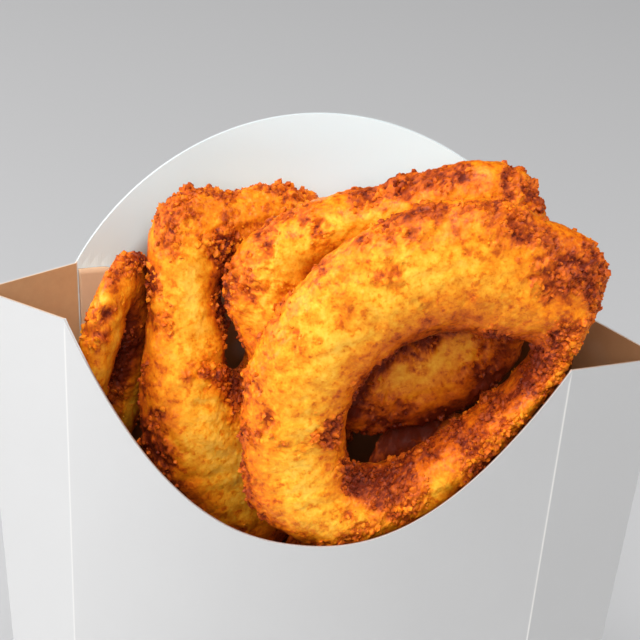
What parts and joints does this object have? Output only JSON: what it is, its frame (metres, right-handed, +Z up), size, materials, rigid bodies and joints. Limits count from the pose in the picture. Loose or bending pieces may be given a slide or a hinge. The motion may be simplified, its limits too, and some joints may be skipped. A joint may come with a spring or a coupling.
{
  "type": "onion rings side",
  "caption": "Crumbed and fried onion rings standing in an upright paperboard scoop carton with folded side gussets, a scooped front and a round tall back.",
  "frame": {"origin": "centre of the flat base, on the surface that the carton stands on", "axes": "+Z up, -Y out of the scooped front, +X to the right seen from the front"},
  "size_m": [0.1378, 0.0494, 0.1537],
  "materials": {
    "paperboard": "coated white board, kraft tan on the gussets' inside",
    "fried_crumb": "rough fried breadcrumb, golden with brown crumbs"
  },
  "bodies": {
    "root": {"carton": "paperboard", "onion_ring_front": "fried_crumb", "onion_ring_second": "fried_crumb", "onion_ring_left": "fried_crumb", "onion_ring_edge": "fried_crumb", "onion_ring_lower_left": "fried_crumb", "onion_ring_lower_middle": "fried_crumb", "onion_ring_lower_right": "fried_crumb", "onion_ring_lower_back": "fried_crumb"}
  },
  "joints": []
}
